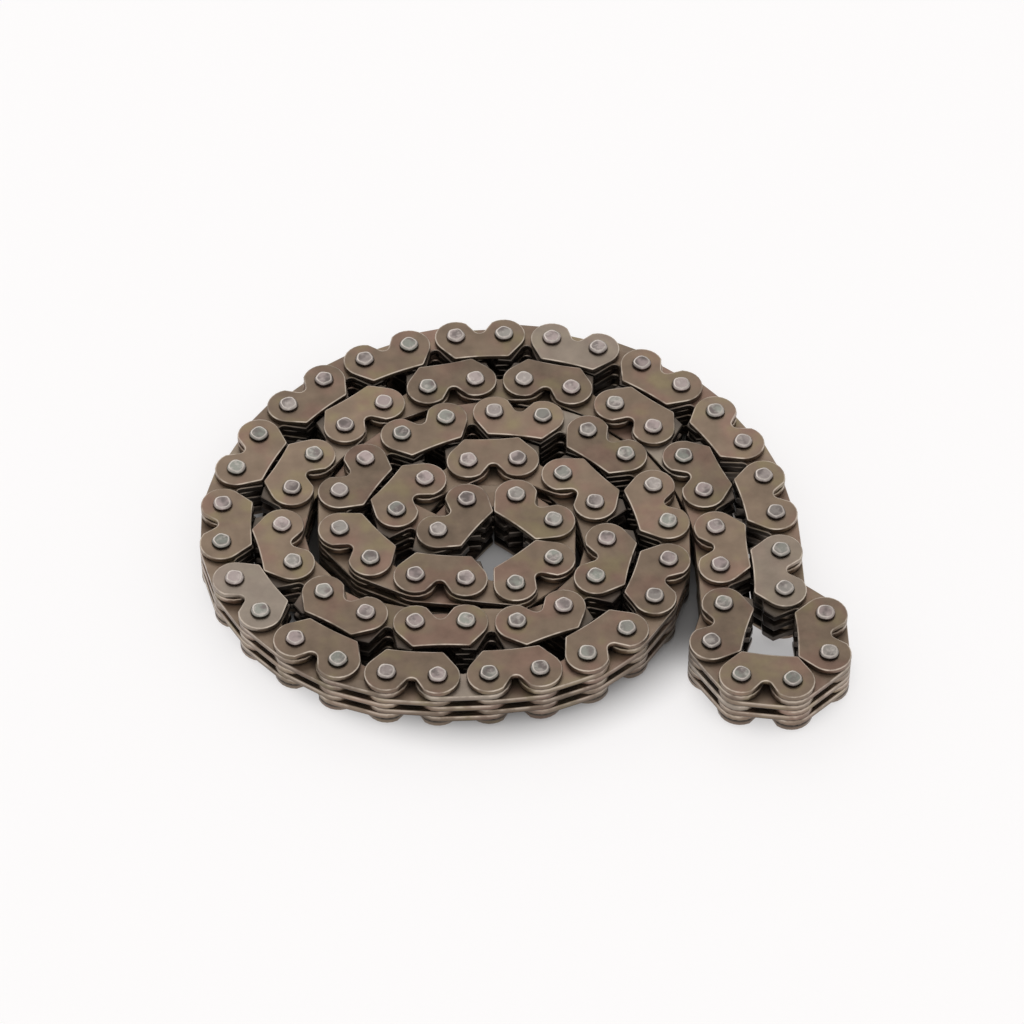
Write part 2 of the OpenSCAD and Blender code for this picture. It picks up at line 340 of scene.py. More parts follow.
def stand_of(solid, sizes, hole_r):
    """Place of one plate as (x, y, bottom, thickness, angle): its pins are on its own X axis, its back on +Y.

    The long axis comes from the spread of the corners. Of the two ways round, the right one has corners of a
    hole's rim at one hole radius from each pin. Their means are the pins, which give the exact place.
    """
    flat = np.unique(solid[:, :2], axis=0)
    mid = (flat.max(axis=0) + flat.min(axis=0)) / 2
    spread = np.linalg.eigh(np.cov((flat - mid).T))[1]
    best = None
    for turn in (1.0, -1.0):
        along = turn * spread[:, 1]
        up = np.array((-along[1], along[0]))
        height = (flat - mid) @ up
        reach = (flat - mid) @ along
        centre = mid + up * (height.max() - sizes.lobe_r) + along * (reach.max() + reach.min()) / 2
        found = []
        for side in (-0.5, 0.5):
            away = np.linalg.norm(flat - (centre + side * sizes.pitch * along), axis=1)
            found.append(flat[abs(away - hole_r) < RIM_SLACK])
        count = min(len(rim) for rim in found)
        if best is None or count > best[0]:
            best = (count, found)
    if best[0] < RIM_CORNERS:
        raise RuntimeError("a plate's holes weren't found in the packed model")
    left, right = ((rim.max(axis=0) + rim.min(axis=0)) / 2 for rim in best[1])
    middle = (left + right) / 2
    bottom, top = solid[:, 2].min(), solid[:, 2].max()
    return middle[0], middle[1], bottom, top - bottom, math.atan2(*(right - left)[::-1])


# Outlines and surfaces

def arc(centre, radius, start, end, steps):
    """Points of a circle's arc: centre + radius * (cos t, sin t), for evenly spaced t from start to end."""
    t = np.linspace(start, end, steps + 1)
    return np.asarray(centre) + radius * np.column_stack((np.cos(t), np.sin(t)))


def flank_turn(sizes):
    """Angle of the straight flank's normal: the common tangent of the lobe's circle and the tip's circle."""
    down = np.array((sizes.tip_reach, sizes.tip_r - sizes.tooth_h))
    return math.atan2(down[1], down[0]) + math.acos((sizes.lobe_r - sizes.tip_r) / np.linalg.norm(down))


def touch(point, centre, radius, turn):
    """Angle on a circle where a point's tangent touches it: the point's direction + turn * acos(r / d)."""
    away = np.subtract(point, centre)
    return math.atan2(away[1], away[0]) + turn * math.acos(radius / np.linalg.norm(away))


def mirrored(right):
    """A whole outline from its right half, which runs upwards from x = 0 to x = 0."""
    left = right[-2:0:-1] * (-1.0, 1.0)
    return np.vstack((right, left))


def guide_outline(sizes):
    """Outline of a guide plate, anticlockwise from the middle of its lower edge.

    A shallow arc through the tips, the tip's arc, the lobe's arc with the flank as their common tangent, the
    notch's straight wall and the arc of its floor.
    """
    half = sizes.pitch / 2
    flank = flank_turn(sizes)
    tip = (half + sizes.tip_reach, sizes.tip_r - sizes.tooth_h)
    hollow_r = (half ** 2 + sizes.hollow ** 2) / (2 * sizes.hollow)
    hollow_at = (0.0, sizes.hollow - sizes.tooth_h - hollow_r)
    turn = sizes.notch_turn
    rim = (half + sizes.lobe_r * math.cos(turn), sizes.lobe_r * math.sin(turn))
    floor_at = (0.0, sizes.notch_floor + sizes.notch_r)
    foot = touch(rim, floor_at, sizes.notch_r, -1)
    return mirrored(np.vstack((
        arc(hollow_at, hollow_r, math.pi / 2, math.acos(half / hollow_r), 3)[:-1],
        arc(tip, sizes.tip_r, -math.pi / 2, flank, 4),
        arc((half, 0.0), sizes.lobe_r, flank, 0.0, 4),
        arc((half, 0.0), sizes.lobe_r, 0.0, turn, 9)[1:],
        arc(floor_at, sizes.notch_r, foot, -math.pi / 2, 4))))


def toothed_outline(sizes):
    """Outline of a toothed plate, anticlockwise from the crown of its crotch.

    The crown's arc, the crotch's straight wall, a flat tooth end, the tip's arc, the lobe's arc with the
    flank as their common tangent, and the flat back.
    """
    half = sizes.pitch / 2
    flank = flank_turn(sizes)
    tip = (half + sizes.tip_reach, sizes.tip_r - sizes.tooth_h)
    crown_at = (0.0, -sizes.crotch_top - sizes.crotch_r)
    rim = (sizes.crotch_half, -sizes.tooth_h)
    foot = touch(rim, crown_at, sizes.crotch_r, 1)
    return mirrored(np.vstack((
        arc(crown_at, sizes.crotch_r, math.pi / 2, foot, 2),
        [rim],
        arc(tip, sizes.tip_r, -math.pi / 2, flank, 2),
        arc((half, 0.0), sizes.lobe_r, flank, 0.0, 2),
        arc((half, 0.0), sizes.lobe_r, 0.0, math.pi / 2, 5)[1:],
        [(0.0, sizes.lobe_r)])))


def inset(outline, depth):
    """An outline moved inwards: each point goes along the mitre of its two edges' normals."""
    edge = np.roll(outline, -1, axis=0) - outline
    normal = np.column_stack((edge[:, 1], -edge[:, 0])) / np.linalg.norm(edge, axis=1)[:, None]
    before = np.roll(normal, 1, axis=0)
    mitre = (before + normal) / (1 + (before * normal).sum(axis=1))[:, None]
    return outline - depth * mitre


def band(lower, upper, count):
    """Outward faces between two closed rings of count points, which are numbered from lower and upper on."""
    k = np.arange(count)
    after = (k + 1) % count
    return np.column_stack((lower + k, lower + after, upper + after, upper + k)).tolist()


def plate_shape(outline, profile, holes, hole_steps, sizes, painted_shade=0.0):
    """Surface of a plate: a profile carried round its outline, closed by two flat faces with the pin holes.

    profile and holes are rows of (inset or radius, height, rim, seat), from the bottom up. rim and seat are
    kept with each point: rim for the bright edge colour of wear and painted highlight, seat for painted
    shade.
    With low as a point's depth below the pins over the tooth height, seat is at least painted_shade *
    sqrt(low) on the sides, and painted_shade * low on the top row. A flat face is cut in two along the line
    of the pins, so that each half runs round one half of both holes.
    """
    count = len(outline)
    rows = [np.column_stack((inset(outline, d), np.full(count, z))) for d, z, _, _ in profile]
    # Painted shade on the tooth side: seat grows with the depth below the pins.
    low = np.clip(-outline[:, 1] / sizes.tooth_h, 0.0, 1.0)
    marks = [np.column_stack((np.full(count, rim), np.maximum(seat, painted_shade * low ** 0.5)))
             for _, _, rim, seat in profile]
    marks[-1][:, 1] = painted_shade * low
    faces = [f for k in range(len(profile) - 1) for f in band(k * count, (k + 1) * count, count)]
    start = len(profile) * count
    rings = {}
    for side in (-1, 1):
        for r, z, rim, seat in holes:
            circle = arc((side * sizes.pitch / 2, 0.0), r, 0.0, 2 * math.pi, hole_steps)[:-1]
            rows.append(np.column_stack((circle, np.full(hole_steps, z))))
            marks.append(np.tile((rim, seat), (hole_steps, 1)))
            rings.setdefault(side, []).append(start)
            start += hole_steps
        ring = rings[side]
        for k in range(len(ring) - 1):
            faces += [f[::-1] for f in band(ring[k], ring[k + 1], hole_steps)]
    points = np.vstack(rows)
    east = int(np.argmax(outline[:, 0]))
    west = int(np.argmin(outline[:, 0]))
    half_turn = hole_steps // 2
    for level, ring in ((0, 0), (len(profile) - 1, -1)):
        base = level * count
        over = [base + k for k in range(east, west + 1)]
        under = [base + k % count for k in range(west, east + count + 1)]
        left, right = rings[-1][ring], rings[1][ring]
        upper_arcs = [hole + k for hole in (left, right) for k in range(half_turn, -1, -1)]
        lower_arcs = [hole + k % hole_steps for hole in (right, left)
                      for k in range(hole_steps, half_turn - 1, -1)]
        for face in (over + upper_arcs, under + lower_arcs):
            faces.append(face if level else face[::-1])
    return points, faces, np.vstack(marks)


def guide_shape(sizes, edges, thick):
    """A guide plate: a rolled upper edge with wear and a painted highlight, a broken lower edge with painted
    shade, and a shallow seat round each pin with a ring of painted shade.
    """
    # rim carries the bright edge colour of wear and painted highlight; seat carries painted shade on the
    # lower edge.
    profile = (
        (edges.burr, 0.0, 0.0, 1.0),
        (0.0, 1.5 * edges.burr, 0.0, 0.9),
        (0.0, 2.5 * edges.burr, 0.3, 0.0),
        (0.0, thick - edges.roll, 0.45, 0.0),
        (0.3 * edges.roll, thick - 0.3 * edges.roll, 1.0, 0.0),
        (edges.roll, thick, 0.8, 0.0),
        (edges.wear_and_highlight, thick, 0.0, 0.0))
    hole_r = sizes.pin_r + sizes.fast_gap
    # The seat column paints shade round the pin's foot, in a ring that fades outwards.
    holes = (
        (hole_r, 0.0, 0.0, 0.0),
        (hole_r, thick - edges.seat_depth, 0.0, 0.7),
        (hole_r + edges.seat, thick, 0.0, 0.22),
        (hole_r + 2.4 * edges.seat, thick, 0.0, 0.0))
    return plate_shape(guide_outline(sizes), profile, holes, GUIDE_HOLE_STEPS, sizes)


def toothed_shape(sizes, edges, thick, gap):
    """A toothed plate: a broken lower edge with painted shade, an upper edge with wear and a painted
    highlight, and plain holes with painted shade below.
    """
    # rim carries the bright edge colour of wear and painted highlight; seat carries painted shade on the
    # lower edge.
    profile = (
        (edges.burr, 0.0, 0.0, 1.0),
        (0.0, 1.8 * edges.burr, 0.0, 1.0),
        (0.0, 3.0 * edges.burr, 0.25, 0.0),
        (0.0, thick - edges.break_edge, 1.0, 0.0),
        (edges.break_edge, thick, 0.4, 0.0))
    hole_r = sizes.pin_r + gap
    # The bottom of each hole gets painted shade.
    holes = ((hole_r, 0.0, 0.0, 0.8), (hole_r, thick, 0.0, 0.0))
    return plate_shape(toothed_outline(sizes), profile, holes, TOOTHED_HOLE_STEPS, sizes, edges.painted_shade)


def pin_shape(sizes, edges, tall, draw):
    """A pin: a profile turned about its axis, with ends that riveting has spread and pushed out of round.

    An end row is (radius, depth below the end, share of the peening, rim). At the angle t its radius is
    radius * (1 + peen * share * (cos(m * t + p) - 1) / 2), with a lobe count m and a phase p drawn for each
    end. Both ends close in a point in the middle of a shallow dish.
    """
    steps = PIN_STEPS
    wide = sizes.pin_r + edges.head
    inner = wide - edges.end_bevel
    # The last column, rim, gives the bevel its polish and painted highlight.
    end_rows = (
        (sizes.pin_r, edges.head_h, 0.0, 0.0),
        (wide, edges.end_bevel * 1.5, 0.4, 0.0),
        (wide, edges.end_bevel, 0.6, 0.1),
        (inner + edges.end_round, edges.end_round * 0.45, 1.0, 0.25),
        (inner - edges.end_round * 0.4, 0.0, 1.0, 0.4),
        (inner * 0.8, edges.dish, 0.9, 0.0))
    t = np.linspace(0.0, 2 * math.pi, steps, endpoint=False)
    rows, rims = [], []
    for foot in (True, False):
        lobes, phase = draw.integers(4, 6), draw.uniform(0.0, 2 * math.pi)
        made = []
        for radius, depth, peened, _ in end_rows:
            reach = radius * (1 + edges.peen * peened * (np.cos(lobes * t + phase) - 1) / 2)
            height = depth if foot else tall - depth
            made.append(np.column_stack((reach * np.cos(t), reach * np.sin(t), np.full(steps, height))))
        rows += made[::-1] if foot else made
        rims += [row[3] for row in end_rows[::-1 if foot else 1]]
    points = np.vstack(rows + [[(0.0, 0.0, edges.dish)], [(0.0, 0.0, tall - edges.dish)]])
    faces = [f for k in range(len(rows) - 1) for f in band(k * steps, (k + 1) * steps, steps)]
    last = (len(rows) - 1) * steps
    foot_at, top_at = len(points) - 2, len(points) - 1
    for k in range(steps):
        after = (k + 1) % steps
        faces.append([foot_at, after, k])
        faces.append([top_at, last + k, last + after])
    marks = np.zeros((len(points), 2))
    marks[:-2, 0] = np.repeat(rims, steps)
    return points, faces, marks


# Pieces

def placed(points, stand):
    """Points (u, v, w) turned by the angle a and moved: x + u cos a - v sin a, y + u sin a + v cos a."""
    x, y, bottom, _, angle = stand
    c, s = math.cos(angle), math.sin(angle)
    return np.column_stack((
        x + c * points[:, 0] - s * points[:, 1],
        y + s * points[:, 0] + c * points[:, 1],
        bottom + points[:, 2]))


def add_piece(name, shapes, tones, smooth_below):
    """One object from many placed shapes, with the point attributes rim, seat and tone for its steel."""
    points, faces, marks, tone, start = [], [], [], [], 0
    for (at, corners, mark), shade in zip(shapes, tones):
        points.append(at)
        faces += [[start + k for k in face] for face in corners]
        marks.append(mark)
        tone.append(np.full(len(at), shade))
        start += len(at)
    mesh = bpy.data.meshes.new(name)
    mesh.from_pydata(np.vstack(points).tolist(), [], faces)
    for label, values in zip(("rim", "seat", "tone"), (*np.vstack(marks).T, np.concatenate(tone))):
        mesh.attributes.new(label, "FLOAT", "POINT").data.foreach_set("value", values.astype(np.float32))
    mesh.validate()
    mesh.shade_smooth()
    mesh.set_sharp_from_angle(angle=smooth_below)
    piece = bpy.data.objects.new(name, mesh)
    bpy.context.scene.collection.objects.link(piece)
    return piece


def nodes_of(kind):
    """Names of the CAD nodes whose pieces are of one kind, in order."""
    return sorted(name for name in frame["nodes"] if kind in name)


def dress(kind, material, shape_of, crease):
    """Makes one piece for each CAD node of a kind, which rides on the node's body and takes its place.

    Each kind has a row of random draws of its own: for every solid first the shape's, then the tone.
    """
    body_of = {node: body for body, nodes in frame["record"]["behaviour"]["bodies"].items() for node in nodes}
    draw = np.random.default_rng([SEED, len(kind)])
    for node in nodes_of(kind):
        shapes, tones = [], []
        for solid in solids_of(node):
            stand, (points, faces, marks) = shape_of(solid, draw)
            shapes.append((placed(points, stand), faces, marks))
            tones.append(draw.uniform())
        piece = add_piece("worn_" + node, shapes, tones, crease)
        piece.data.materials.append(material)
        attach(piece, body_of[node])
        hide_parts(node)


# Steels

def feed(tree, value, socket):
    """Gives an input socket its value: another socket, a number or a colour."""
    if isinstance(value, bpy.types.NodeSocket):
        tree.links.new(value, socket)
    elif isinstance(value, (int, float)):
        socket.default_value = value
    else:
        socket.default_value = (*value, 1.0)


def add(tree, kind, **settings):
    """A new node of a tree with its own settings."""
    made = tree.nodes.new(kind)
    for key, value in settings.items():
        setattr(made, key, value)
    return made


def group_tree(name, inputs, outputs):
    """An empty shader node group with named sockets, and its two end nodes."""
    tree = bpy.data.node_groups.new(name, "ShaderNodeTree")
    for label, kind in inputs:
        tree.interface.new_socket(name=label, in_out="INPUT", socket_type=kind)
    for label, kind in outputs:
        tree.interface.new_socket(name=label, in_out="OUTPUT", socket_type=kind)
    return tree, tree.nodes.new("NodeGroupInput"), tree.nodes.new("NodeGroupOutput")


def calc(tree, operation, *values, clamp=False):
    """A Math node whose inputs are sockets or numbers; returns its output."""
    made = add(tree, "ShaderNodeMath", operation=operation, use_clamp=clamp)
    for socket, value in zip(made.inputs, values):
        feed(tree, value, socket)
    return made.outputs[0]


def noise(tree, where, kind):
    """A Noise Texture's value at an Object coordinate, for one of the noises above."""
    made = add(tree, "ShaderNodeTexNoise")
    for label, value in zip(("Scale", "Detail", "Roughness"), kind):
        made.inputs[label].default_value = value
    feed(tree, where, made.inputs["Vector"])
    return made.outputs["Fac"]


def ramp(tree, value, span):
    """A value that goes from 0 to 1 along a smooth step, while the one put in goes through a span."""
    made = add(tree, "ShaderNodeMapRange", interpolation_type="SMOOTHSTEP")
    feed(tree, value, made.inputs["Value"])
    made.inputs["From Min"].default_value, made.inputs["From Max"].default_value = span
    return made.outputs["Result"]


def blend_colour(tree, share_of, first, second, mode="MIX"):
    """A Mix node set to colours, whose factor, A and B are the inputs 0, 6 and 7; returns its result."""
    made = add(tree, "ShaderNodeMix", data_type="RGBA", blend_type=mode)
    for k, value in ((0, share_of), (6, first), (7, second)):
        feed(tree, value, made.inputs[k])
    return made.outputs[2]


def dimmed(tree, colour_now, level):
    """A colour times one level; returns the product."""
    grey = add(tree, "ShaderNodeCombineColor")
    for k in range(3):
        feed(tree, level, grey.inputs[k])
    return blend_colour(tree, 1.0, colour_now, grey.outputs[0], "MULTIPLY")


def bump_on(tree, shader, height, strength, distance):
    """A bump from a height on a shader's normal."""
    bump = add(tree, "ShaderNodeBump")
    bump.inputs["Strength"].default_value = strength
    bump.inputs["Distance"].default_value = distance
    feed(tree, height, bump.inputs["Height"])
    feed(tree, bump.outputs["Normal"], shader.inputs["Normal"])


def heat_tint_group():
    """Group: a plate's colour, from its plain steel drifting to red and olive, with clouds and a fine mottle.

    Tone is the plate's own number from 0 to 1. It moves the noise, lightens the plate, and turns the last few
    plates grey. The level is darkest + spread * tone + cloud * (cloud noise - 0.5) + mottle * (grain - 0.5).
    """
    tree, start, end = group_tree(
        "Heat tint",
        (("Where", "NodeSocketVector"), ("Tone", "NodeSocketFloat"), ("Steel", "NodeSocketColor"),
         ("Red", "NodeSocketColor"), ("Olive", "NodeSocketColor"), ("Grey", "NodeSocketColor"),
         ("Mottle", "NodeSocketFloat"), ("Cloud", "NodeSocketFloat")),
        (("Colour", "NodeSocketColor"), ("Grain", "NodeSocketFloat")))
    get = start.outputs
    shifted = add(tree, "ShaderNodeVectorMath", operation="MULTIPLY_ADD")
    feed(tree, get["Tone"], shifted.inputs[0])
    shifted.inputs[1].default_value = TINT_SHIFT
    feed(tree, get["Where"], shifted.inputs[2])
    own = shifted.outputs[0]
    red = calc(tree, "MULTIPLY", ramp(tree, noise(tree, own, RED_NOISE), RED_PATCHES), RED_SHARE)
    olive = calc(tree, "MULTIPLY", ramp(tree, noise(tree, own, OLIVE_NOISE), OLIVE_PATCHES), OLIVE_SHARE)
    grey = calc(tree, "MULTIPLY", ramp(tree, get["Tone"], GREY_TONES), GREY_SHARE)
    tinted = blend_colour(tree, red, get["Steel"], get["Red"])
    tinted = blend_colour(tree, olive, tinted, get["Olive"])
    tinted = blend_colour(tree, grey, tinted, get["Grey"])
    grain = noise(tree, get["Where"], GRAIN_NOISE)
    cloud = noise(tree, own, CLOUD_NOISE)
    spread = calc(tree, "MULTIPLY", calc(tree, "SUBTRACT", grain, 0.5), get["Mottle"])
    spread = calc(tree, "MULTIPLY_ADD", calc(tree, "SUBTRACT", cloud, 0.5), get["Cloud"], spread)
    level = calc(tree, "ADD", calc(tree, "MULTIPLY_ADD", get["Tone"], PLATE_SPREAD, PLATE_DARKEST), spread)
    feed(tree, dimmed(tree, tinted, level), end.inputs["Colour"])
    feed(tree, grain, end.inputs["Grain"])
    return tree


def wear_and_highlight_group():
    """Group: how much of the bright edge colour, wear and painted highlight, a rim gets: amount * rim cubed
    in patches, and WEAR_HIGHLIGHT_REST of it between them.
    """
    tree, start, end = group_tree(
        "Edge wear",
        (("Where", "NodeSocketVector"), ("Rim", "NodeSocketFloat"), ("Amount", "NodeSocketFloat")),
        (("Worn", "NodeSocketFloat"),))
    patch = ramp(tree, noise(tree, start.outputs["Where"], WEAR_HIGHLIGHT_NOISE), WEAR_HIGHLIGHT_PATCHES)
    rubbed_and_lit = calc(tree, "POWER", start.outputs["Rim"], 3.0)
    wear_and_highlight = calc(tree, "MULTIPLY", rubbed_and_lit, calc(tree, "MULTIPLY_ADD", patch, 1.0 - WEAR_HIGHLIGHT_REST, WEAR_HIGHLIGHT_REST))
    feed(tree, calc(tree, "MULTIPLY", wear_and_highlight, start.outputs["Amount"], clamp=True), end.inputs["Worn"])
    return tree


def used(tree, made, **values):
    """A node group placed in a material, with sockets or plain values for its inputs; returns its outputs."""
    inside = add(tree, "ShaderNodeGroup", node_tree=made)
    for label, value in values.items():
        feed(tree, value, inside.inputs[label])
    return inside.outputs


def shader_of(name, metallic, colour_now):
    """A new material with its tree, its Principled BSDF and the Object coordinates."""
    material = bpy.data.materials.new(name)
    material.use_nodes = True
    material.diffuse_color = (*colour_now, 1.0)
    tree = material.node_tree
    shader = tree.nodes["Principled BSDF"]
    shader.inputs["Metallic"].default_value = metallic
    return material, tree, shader, add(tree, "ShaderNodeTexCoord").outputs["Object"]


def attribute(tree, name):
    """A point attribute's value."""
    return add(tree, "ShaderNodeAttribute", attribute_name=name).outputs["Fac"]


def roughen(tree, shader, rough, grain, grained, rubbed_and_lit, gloss):
    """A shader's roughness: rough + added * grain - taken off - gloss * rubbed."""
    added, taken_off = grained
    level = calc(tree, "MULTIPLY_ADD", grain, added, rough - taken_off)
    feed(tree, calc(tree, "MULTIPLY_ADD", rubbed_and_lit, -gloss, level), shader.inputs["Roughness"])


def plate_steel(name, finish, wear_and_light, mottle):
    """Satin brown steel: a drifting heat tint, edges rubbed bright with a painted highlight, painted shade at
    the pins, in the gaps and on the teeth, and a fine grain.
    """
    material, tree, shader, where = shader_of(name, finish.plate_metal, finish.plate)
    tint_group, wear_highlight_group = effect_groups()
    tint = used(
        tree, tint_group, Where=where, Tone=attribute(tree, "tone"), Steel=finish.plate, Red=finish.red,
        Olive=finish.olive, Grey=finish.grey, Mottle=mottle, Cloud=finish.cloud)
    # Bright edges: wear and a painted highlight.
    wear_and_highlight = used(tree, wear_highlight_group, Where=where, Rim=attribute(tree, "rim"), Amount=wear_and_light)["Worn"]
    rubbed_and_lit = blend_colour(tree, wear_and_highlight, tint["Colour"], finish.wear_and_highlight)
    # Painted shade round the pins, along the lower edges, in the holes and on the teeth.
    shade_painted = blend_colour(tree, attribute(tree, "seat"), rubbed_and_lit, finish.painted_shade_colour)
    feed(tree, shade_painted, shader.inputs["Base Color"])
    roughen(tree, shader, finish.plate_rough, tint["Grain"], PLATE_GRAIN, wear_and_highlight, WORN_GLOSS)
    bump_on(tree, shader, tint["Grain"], *PLATE_BUMP)
    return material


def pin_steel(finish):
    """Bright steel, from a warm to a cool cast and from dull to light pin by pin.

    It has duller patches, hammer marks that shine like the bevel, and a polished bevel whose brighter colour
    is also a painted highlight. A pin's tone gives its cast, and its level is darkest + spread * the broken
    part of runs * tone.
    """
    material, tree, shader, where = shader_of("Bright pin steel", 1.0, finish.pin)
    tone = attribute(tree, "tone")
    marks = noise(tree, where, HAMMER_NOISE)
    dull = ramp(tree, noise(tree, where, DULL_NOISE), DULL_PATCHES)
    struck = calc(tree, "MULTIPLY", ramp(tree, marks, HAMMER_MARKS), HAMMER_SHARE)
    face = blend_colour(tree, ramp(tree, tone, COOL_TONES), finish.pin, finish.pin_cool)
    face = blend_colour(tree, dull, face, finish.pin_dark)
    face = blend_colour(tree, struck, face, finish.pin_polish_and_highlight)
    own = calc(tree, "FRACT", calc(tree, "MULTIPLY", tone, PIN_RUNS))
    face = dimmed(tree, face, calc(tree, "MULTIPLY_ADD", own, PIN_SPREAD, PIN_DARKEST))
    # The bevel's polish and painted highlight.
    polished_and_lit = ramp(tree, attribute(tree, "rim"), POLISH_HIGHLIGHT_RIM)
    feed(tree, blend_colour(tree, polished_and_lit, face, finish.pin_polish_and_highlight), shader.inputs["Base Color"])
    roughen(tree, shader, finish.pin_rough, marks, PIN_GRAIN, polished_and_lit, BEVEL_GLOSS)
    bump_on(tree, shader, marks, *PIN_BUMP)
    return material


def effect_groups():
    """The two effects that the plate steels share, made once: the heat tint and the edge wear with its
    painted highlight.
    """
    made = bpy.data.node_groups
    return made.get("Heat tint") or heat_tint_group(), made.get("Edge wear") or wear_and_highlight_group()


# Stage

def add_light(name, watts, at, side):
    """A square area light that faces the origin."""
    lamp = bpy.data.lights.new(name, "AREA")
    lamp.size = side
    lamp.energy = watts
    light = bpy.data.objects.new(name, lamp)
    bpy.context.scene.collection.objects.link(light)
    light.location = at
    light.rotation_euler = light.location.to_track_quat("Z", "Y").to_euler()


def middle_of(kind):
    """Middle of the box round all CAD nodes of a kind, on the floor."""
    boxes = np.array([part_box(node) for node in nodes_of(kind)])
    middle = (boxes[:, 0].min(axis=0) + boxes[:, 1].max(axis=0)) / 2
    return middle[0], middle[1], 0.0


def beyond(tree, where, middle, fade):
    """0 up to one distance from a point and 1 from a second one on."""
    away = add(tree, "ShaderNodeVectorMath", operation="DISTANCE")
    feed(tree, where, away.inputs[0])
    away.inputs[1].default_value = middle
    return ramp(tree, away.outputs["Value"], fade)


def in_view(tree, mirrored_share):
    """1 for what the camera sees, also through glass, a share for reflections, 0 for light on matt faces."""
    seen = add(tree, "ShaderNodeLightPath").outputs
    glossy = calc(tree, "MULTIPLY", seen["Is Glossy Ray"], mirrored_share)
    clear = calc(tree, "MAXIMUM", seen["Is Camera Ray"], seen["Is Transmission Ray"])
    return calc(tree, "MAXIMUM", clear, glossy)


def floor_material(stage):
    """A matt floor that glows a little where it is seen, but hardly under the chain and in its gaps, which
    paints their shade.

    The narrow gaps of the photograph show no floor, so its colour is also darker under the coil, apart from
    its eye: painted shade.
    """
    material = bpy.data.materials.new("Pale floor")
    material.use_nodes = True
    tree = material.node_tree
    shader = tree.nodes["Principled BSDF"]
    shader.inputs["Roughness"].default_value = FLOOR_ROUGH
    shader.inputs["Specular IOR Level"].default_value = FLOOR_SHEEN
    feed(tree, stage.glow, shader.inputs["Emission Color"])
    where = add(tree, "ShaderNodeTexCoord").outputs["Object"]
    coil_middle = middle_of("first_strand_guides")
    # Less glow near the coil, in the outer fold, in the nook and at the tail's root paints their shade; a
    # little glow in the coil's eye paints a pool of light there.
    coil = beyond(tree, where, coil_middle, (stage.shade_r, stage.clear_r))
    fold = beyond(tree, where, middle_of("outer_fold"), FOLD_FADE)
    fold = calc(tree, "MULTIPLY_ADD", fold, 1.0 - FOLD_LIGHT, FOLD_LIGHT)
    nook = beyond(tree, where, stage.nook, NOOK_FADE)
    root = beyond(tree, where, stage.root, ROOT_FADE)
    outside = calc(tree, "MULTIPLY", calc(tree, "MULTIPLY", coil, fold), calc(tree, "MULTIPLY", nook, root))
    eye = calc(tree, "SUBTRACT", 1.0, beyond(tree, where, stage.eye, EYE_FADE))
    lift = calc(tree, "MAXIMUM", outside, calc(tree, "MULTIPLY", eye, EYE_LIGHT))
    lift = calc(tree, "MULTIPLY", lift, stage.lift)
    # In reflections the floor glows brighter than it looks, which paints brighter reflections on the plates.
    seen = calc(tree, "MULTIPLY", in_view(tree, MIRRORED_LIGHT), lift)
    feed(tree, seen, shader.inputs["Emission Strength"])
    # Darker colour under the coil and at the tail's root, but not in the eye, is painted shade.
    under = calc(tree, "MULTIPLY", beyond(tree, where, coil_middle, UNDER_FADE), root)
    tint = blend_colour(tree, calc(tree, "MAXIMUM", under, eye), stage.under, stage.floor)
    feed(tree, tint, shader.inputs["Base Color"])
    return material


def set_world(stage):
    """An even sky: full strength for the camera, through glass and in reflections, less on matt faces."""
    world = bpy.data.worlds.new("Studio")
    bpy.context.scene.world = world
    world.use_nodes = True
    tree = world.node_tree
    sky = tree.nodes["Background"]
    feed(tree, stage.sky_colour, sky.inputs["Color"])
    strength = calc(tree, "MULTIPLY_ADD", in_view(tree, 1.0), 1.0 - stage.sky, stage.sky)
    feed(tree, strength, sky.inputs["Strength"])


def add_camera(stage):
    """The camera at the photograph's angle, set back from the aimed point along its own line of sight."""
    data = bpy.data.cameras.new("Camera")
    data.lens = stage.lens
    data.sensor_width = SENSOR
    data.clip_start, data.clip_end = SIGHT
    camera = bpy.data.objects.new("Camera", data)
    bpy.context.scene.collection.objects.link(camera)
    e = stage.elevation
    back, up = stage.distance * math.cos(e), stage.distance * math.sin(e)
    camera.location = (stage.aim[0], stage.aim[1] - back, stage.aim[2] + up)
    camera.rotation_euler = (math.pi / 2 - e, 0.0, 0.0)
    bpy.context.scene.camera = camera


# Operators

class ChainPiece:
    """What the piece operators share."""

    bl_options = {"REGISTER", "UNDO"}

    def settings(self, context):
        """The settings of the plates, the edges and the finish."""
        scene = context.scene
        return scene.chain_plates, scene.chain_edges, scene.chain_finish


class CHAIN_OT_guide_plates(ChainPiece, bpy.types.Operator):
    """Make the guide plates, the outermost plates of the outer links"""

    bl_idname = "chain.guide_plates"
    bl_label = "Guide Plates"

    def execute(self, context):
        sizes, edges, finish = self.settings(context)
        steel = plate_steel("Guide plate steel", finish, finish.guide_wear_and_light, finish.guide_mottle)

        def shape_of(solid, _):
            stand = stand_of(solid, sizes, sizes.pin_r)
            bottom, thick = stand[2:4]
            points, faces, marks = guide_shape(sizes, edges, thick)
            if bottom < CAD_BOX[1][2] / 2:    # a lower guide plate lies with its rolled edge down
                points = points * (1, 1, -1) + (0, 0, thick)
                faces = [face[::-1] for face in faces]
            return stand, (points, faces, marks)

        dress("guides", steel, shape_of, ROLLED)
        return {"FINISHED"}


